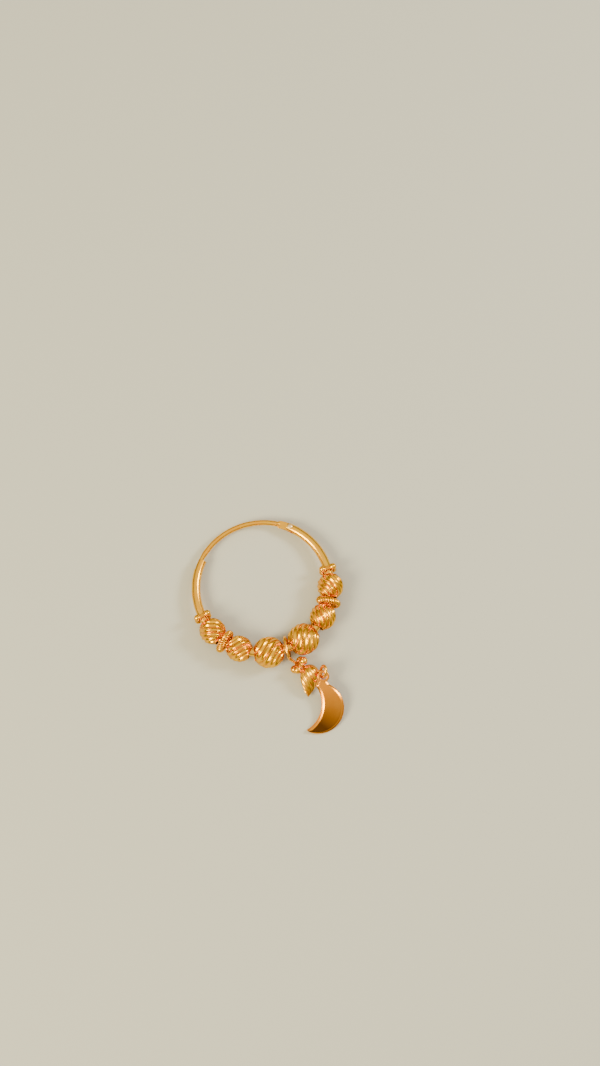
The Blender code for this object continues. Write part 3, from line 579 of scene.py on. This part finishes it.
# Dangle wire: one gold wire, soldered. It is a long bail round the tube, a shank through the spacer
# and the drop, and a round ring at its end that holds the crescent.
DANGLE_WIRE_RADIUS = 0.0002
BAIL_CENTRE = np.array([0.002588, -0.0031946, 0.0020777])
BAIL_LONG = 0.00142 * np.array([0.2111895, -0.9753754, 0.0635747])
BAIL_SHORT = 0.00096 * np.array([0.1590824, -0.0298755, -0.9868132])
END_RING_RADIUS = 0.00072
END_RING_CENTRE = np.array([0.0072401, -0.0062826, 0.0022988])
END_RING_ACROSS = np.array([-0.4383711, -0.0002721, -0.8987941])
END_RING_UP = np.array([-0.0005995, 0.9659256, 0.258819])
SHANK_STOPS = np.array([[0.0028878, -0.0045796, 0.002168], DANGLE_SPACER_CENTRE,
                        [0.0046858, -0.0054614, 0.0012347], [0.0065258, -0.0061165, 0.0015831],
                        [0.0069247, -0.0062585, 0.0016586]])

# A direction that no stretch of the wire runs along, which its circles are turned by
CIRCLE_GUIDE = np.array([0.31, -0.42, 0.85])


def smooth_route(stops, steps):
    """Curve through the stops: between two stops, the cubic whose slopes join their neighbours."""
    ends = np.concatenate([[2.0 * stops[0] - stops[1]], stops, [2.0 * stops[-1] - stops[-2]]])
    before, start, stop, after = (ends[k:len(ends) - 3 + k, None] for k in range(4))
    way = np.linspace(0.0, 1.0, steps, endpoint=False)[None, :, None]
    route = 0.5 * (2.0 * start + (stop - before) * way
                   + (2.0 * before - 5.0 * start + 4.0 * stop - after) * way ** 2
                   + (3.0 * start - before - 3.0 * stop + after) * way ** 3)
    return np.concatenate([route.reshape(-1, 3), stops[-1:]])


def carried_circle(route, radius, closed):
    """Circle carried along a route, square to the route's direction at each of its points."""
    if closed:
        ahead = np.roll(route, -1, axis=0) - np.roll(route, 1, axis=0)
    else:
        ahead = np.gradient(route, axis=0)
    ahead /= np.linalg.norm(ahead, axis=1, keepdims=True)
    side = np.cross(ahead, CIRCLE_GUIDE)
    side /= np.linalg.norm(side, axis=1, keepdims=True)
    up = np.cross(side, ahead)
    ring = full_turn(28)[None, :, None]
    return route[:, None] + radius * (np.cos(ring) * side[:, None] + np.sin(ring) * up[:, None])


def dangle_wire_shells():
    """Bail and end ring as closed routes, an ellipse and a circle, and the shank as an open route."""
    turn = full_turn(120)[:, None]
    bail = BAIL_CENTRE + BAIL_LONG * np.cos(turn) + BAIL_SHORT * np.sin(turn)
    ring_way = np.cos(turn) * END_RING_UP + np.sin(turn) * END_RING_ACROSS
    ring = END_RING_CENTRE + END_RING_RADIUS * ring_way
    shank = smooth_route(SHANK_STOPS, 14)
    return [(carried_circle(bail, DANGLE_WIRE_RADIUS, True), True, True, 0.0),
            (carried_circle(ring, DANGLE_WIRE_RADIUS, True), True, True, 0.0),
            (carried_circle(shank, DANGLE_WIRE_RADIUS, False), False, True, 0.0)]


make_piece("soldered_dangle_wire", dangle_wire_shells(), wire_finish, "hoop", "dangle_wire")

# Fluted drop: a small hollow gold drop, cut with twisted flutes as the beads are. The wire passes
# across through its round end, and its point lies on the ground.
DROP_RADIUS = 0.00124
DROP_LENGTH = 0.00425
DROP_TOP = np.array([0.0056076, -0.0052505, 0.0016728])
DROP_AXIS = np.array([-0.0751881, -0.9629951, -0.258819])
DROP_FLUTE_DEPTH = 0.00014
DROP_FLUTE_TWIST = 1.1
DROP_GIRTH_PEAK = 4.0 / (3.0 * math.sqrt(3.0))


def cut_drop():
    """Turned profile with flutes.

    The distance down from the round end goes with the cosine of the way round, and the girth with
    its sine times the sine of half the way, which makes one end round and the other pointed. The
    product of the sines is divided by its own peak, so that the girth reaches the drop's radius.
    """
    way = np.linspace(0.0, math.pi, 130)[:, None]
    meridian = full_turn(24 * FLUTE_COUNT)[None]
    cut = fluted_skin(math.pi / 2.0 - way, meridian, DROP_FLUTE_TWIST, 0.0)
    girth = DROP_RADIUS * np.sin(way) * np.sin(way / 2.0) / DROP_GIRTH_PEAK
    reach = np.maximum(girth - DROP_FLUTE_DEPTH * cut, 0.0)
    down = DROP_LENGTH * (1.0 + np.cos(way)) / 2.0
    local = joined(reach * np.cos(meridian), reach * np.sin(meridian), down)
    # The drop's uncut ridges are darkened by painted shade.
    return [(DROP_TOP + local @ axes_about(DROP_AXIS), False, True, ridge_shade(cut))]


make_piece("cut_drop", cut_drop(), cut_finish, "hoop", "fluted_drop")

# Crescent: cut from gold plate of a redder alloy, its rims filed to a broad bright bevel, its face
# polished and finely scratched. The eyelet at its upper horn hangs on the wire's end ring.
PLATE_THICKNESS = 0.00042
PLATE_CORNER = np.array([0.0070241, -0.0140101, 0.0002283])
PLATE_SLOPE = 15.0
RIM_WIDTH = 0.0004
RIM_WIDTH_SHARE = 0.4
RIM_DROP = 0.00017
RIM_ROUNDING = 1.4
RIM_STEPS = 7
FACE_STEPS = 14
EDGE_BULGE = 0.00004
EYELET_CENTRE = (0.000221, 0.0074)
EYELET_RADIUS = 0.00078
EYELET_HOLE_RADIUS = 0.00042
EYELET_PROUD = 0.000008
EYELET_SQUARENESS = (0.55, 0.45)
# Painted shade on the crescent's face: none by the eyelet, deepening along it to its most at the horn's
# end.
FACE_SHADE = 0.95
SHADE_CLIMB = 1.6
SHADE_DELAY = 0.26
OUTER_STOPS = ((-0.00156, 0.000163), (0.002861, 0.003382), (0.000912, 0.006371))
INNER_STOPS = ((-0.001886, 0.000444), (0.000038, 0.003767), (-0.00073, 0.006172))
NECK_OUTER = np.array([[0.000668, 0.006761]])
NECK_INNER = np.array([[-0.000418, 0.006953]])


def arc_through(stops, steps):
    """Points along the circle through three points, at even steps of its angle."""
    a, b, c = (np.array(stop) for stop in stops)
    centre = np.linalg.solve(2.0 * np.array([b - a, c - a]), [b @ b - a @ a, c @ c - a @ a])
    first, middle, last = (math.atan2(*(stop - centre)[::-1]) for stop in (a, b, c))
    sweep = (last - first) % math.tau
    if (middle - first) % math.tau > sweep:
        sweep -= math.tau
    way = first + sweep * np.linspace(0.0, 1.0, steps)
    return centre + np.linalg.norm(a - centre) * np.stack([np.cos(way), np.sin(way)], axis=-1)


def on_plate(x, y, up):
    """Points of the sloping plate, from their place in its plane and their height over its middle."""
    slope = math.radians(PLATE_SLOPE)
    axes = np.array([[1.0, 0.0, 0.0], [0.0, math.cos(slope), math.sin(slope)],
                     [0.0, -math.sin(slope), math.cos(slope)]])
    return PLATE_CORNER + joined(x, y, up) @ axes


def crescent_shells():
    """Plate and eyelet.

    Each row of the plate is a section from the inner arc to the outer arc: over the face with its
    two falling rims, round the outer edge, back below, and round the inner edge. The first row is
    the horn's blunt end and the last one lies inside the eyelet. The eyelet is a flat ring. The face
    has no painted shade by the eyelet, and a painted shade darkens it along its length to its most
    at the horn's end.
    """
    outer = arc_through(OUTER_STOPS, 120)
    inner = arc_through(INNER_STOPS, 120)
    blend = np.linspace(0.0, 1.0, 12)[1:, None]
    outer = np.concatenate([outer, outer[-1] + (NECK_OUTER - outer[-1]) * blend])
    inner = np.concatenate([inner, inner[-1] + (NECK_INNER - inner[-1]) * blend])
    width = np.linalg.norm(outer - inner, axis=1)[:, None]
    rim = np.minimum(RIM_WIDTH, RIM_WIDTH_SHARE * width)
    rim_way = np.linspace(0.0, 1.0, RIM_STEPS)
    face_way = np.linspace(0.0, 1.0, FACE_STEPS)[1:]
    face = np.concatenate([rim * rim_way, rim + (width - 2.0 * rim) * face_way,
                           width - rim * rim_way[::-1][1:]], axis=1)
    edge_near = np.minimum(face, width - face) / rim
    half = PLATE_THICKNESS / 2.0
    face_up = half - RIM_DROP * np.clip(1.0 - edge_near, 0.0, 1.0) ** RIM_ROUNDING
    side = np.linspace(0.0, math.pi, 9)[1:-1]
    side_up = (half - RIM_DROP - EDGE_BULGE) * np.cos(side) - EDGE_BULGE + 0.0 * width
    below = np.linspace(1.0, 0.0, 16) * width
    from_inner = np.concatenate([face, width + EDGE_BULGE * np.sin(side), below,
                                 -EDGE_BULGE * np.sin(side) + 0.0 * width], axis=1)
    up = np.concatenate([face_up, side_up, np.full_like(below, -half), side_up[:, ::-1]], axis=1)
    direction = (outer - inner) / width
    flat = inner[:, None] + from_inner[..., None] * direction[:, None]
    plate = on_plate(flat[..., 0], flat[..., 1], up)
    ends = plate.mean(axis=1, keepdims=True) + 0.0 * plate
    closed = np.concatenate([ends[:1], plate, ends[-1:]])

    turn = full_turn(96)[:, None]
    loop = full_turn(32)[None]
    middle, band = (EYELET_RADIUS + EYELET_HOLE_RADIUS) / 2.0, (EYELET_RADIUS - EYELET_HOLE_RADIUS) / 2.0
    reach = middle + band * squared(np.cos(loop), EYELET_SQUARENESS[0])
    eyelet = on_plate(EYELET_CENTRE[0] + reach * np.cos(turn), EYELET_CENTRE[1] + reach * np.sin(turn),
                      (half + EYELET_PROUD) * squared(np.sin(loop), EYELET_SQUARENESS[1]))

    # Painted shade: the face, not its rims, grows darker towards the horn's end.
    to_horn = 1.0 - np.linspace(0.0, 1.0, len(closed))[:, None]
    on_face = np.zeros((1, closed.shape[1]))
    on_face[0, RIM_STEPS - 1:RIM_STEPS + FACE_STEPS] = 1.0
    face_painted_shade = np.clip(SHADE_CLIMB * to_horn - SHADE_DELAY, 0.0, FACE_SHADE)
    return [(closed, False, True, face_painted_shade * on_face), (eyelet, True, True, 0.0)]


plate_finish = gold_finish("rolled_plate_gold", bright=(0.86, 0.34, 0.03), warm=(0.76, 0.27, 0.015),
                           painted_shade_color=(0.07, 0.024, 0.004), gloss=0.16, haze=0.3, smear_scale=700.0,
                           scratch_scale=22000.0, scratch_depth=0.0000015)
make_piece("bevelled_crescent", crescent_shells(), plate_finish, "hoop", "crescent")

# Ground: a plain pale sheet under the earring, wide enough to fill the picture.
FLOOR_HALF = 0.6
FLOOR_COLOR = (0.54, 0.56, 0.64, 1.0)
FLOOR_ROUGHNESS = 0.9
floor_mesh = bpy.data.meshes.new("pale_floor")
floor_mesh.from_pydata([(-FLOOR_HALF, -FLOOR_HALF, 0.0), (FLOOR_HALF, -FLOOR_HALF, 0.0),
                        (FLOOR_HALF, FLOOR_HALF, 0.0), (-FLOOR_HALF, FLOOR_HALF, 0.0)], [], [(0, 1, 2, 3)])
pale_floor = bpy.data.objects.new("pale_floor", floor_mesh)
bpy.context.scene.collection.objects.link(pale_floor)
floor_finish = bpy.data.materials.new("pale_floor")
floor_finish.use_nodes = True
floor_shader = floor_finish.node_tree.nodes["Principled BSDF"]
floor_shader.inputs["Base Color"].default_value = FLOOR_COLOR
floor_shader.inputs["Roughness"].default_value = FLOOR_ROUGHNESS
floor_mesh.materials.append(floor_finish)

# Light: a warm soft lamp on the left in front, a whiter one on the right, and a surround that is
# bright above and dim at the sides, so that the gold has both to mirror.
SURROUND_BELOW = (0.12, 0.1, 0.085, 1.0)
SURROUND_ABOVE = (1.4, 1.22, 0.7, 1.0)
SURROUND_CLIMB = (0.1, 0.95)
world = bpy.data.worlds.new("soft_surround")
world.use_nodes = True
surround = world.node_tree
facing = surround.nodes.new("ShaderNodeTexCoord")
heights = surround.nodes.new("ShaderNodeSeparateXYZ")
climb = surround.nodes.new("ShaderNodeMapRange")
climb.inputs["From Min"].default_value = SURROUND_CLIMB[0]
climb.inputs["From Max"].default_value = SURROUND_CLIMB[1]
surround_tone = surround.nodes.new("ShaderNodeMix")
surround_tone.data_type = "RGBA"
surround_tone.inputs["A"].default_value = SURROUND_BELOW
surround_tone.inputs["B"].default_value = SURROUND_ABOVE
link_sockets(surround,
             (facing.outputs["Generated"], heights.inputs["Vector"]),
             (heights.outputs["Z"], climb.inputs["Value"]),
             (climb.outputs["Result"], surround_tone.inputs["Factor"]),
             (surround_tone.outputs["Result"], surround.nodes["Background"].inputs["Color"]))
bpy.context.scene.world = world


def soft_lamp(name, place, size, power, color):
    """Square lamp at a place, facing the origin."""
    lamp = bpy.data.lights.new(name, "AREA")
    lamp.size = size
    lamp.energy = power
    lamp.color = color
    lamp_object = bpy.data.objects.new(name, lamp)
    lamp_object.location = place
    lamp_object.rotation_euler = (-Vector(place)).to_track_quat("-Z", "Y").to_euler()
    bpy.context.scene.collection.objects.link(lamp_object)


soft_lamp("warm_lamp", place=(-0.22, -0.13, 0.24), size=0.14, power=1.6, color=(1.0, 0.86, 0.42))
soft_lamp("white_lamp", place=(0.24, 0.08, 0.2), size=0.08, power=0.8, color=(1.0, 0.93, 0.66))

# Camera: held nearly straight above, a little in front, as the earring lies on the ground. A pixel
# is the length that one picture row covers at the hoop, and the hoop's centre is off the middle.
PIXEL = 0.0001303
PICTURE_ROWS = 1066.0
ROWS_ABOVE_HOOP = 54.0
COLUMNS_RIGHT_OF_HOOP = 37.0
VIEW_DISTANCE = 0.23
VIEW_ELEVATION = math.radians(77.0)
view_back = Vector((0.0, -math.cos(VIEW_ELEVATION), math.sin(VIEW_ELEVATION)))
view_up = Vector((0.0, math.sin(VIEW_ELEVATION), math.cos(VIEW_ELEVATION)))
view_aim = Vector(hoop_centre) + Vector((COLUMNS_RIGHT_OF_HOOP * PIXEL, 0.0, 0.0))
view_aim += ROWS_ABOVE_HOOP * PIXEL * view_up
lens = bpy.data.cameras.new("camera")
lens.lens = lens.sensor_width * VIEW_DISTANCE / (PICTURE_ROWS * PIXEL)
lens.clip_start = 0.01
lens.clip_end = 10.0
camera = bpy.data.objects.new("camera", lens)
camera.location = view_aim + VIEW_DISTANCE * view_back
camera.rotation_euler = view_back.to_track_quat("Z", "Y").to_euler()
bpy.context.scene.collection.objects.link(camera)
bpy.context.scene.camera = camera
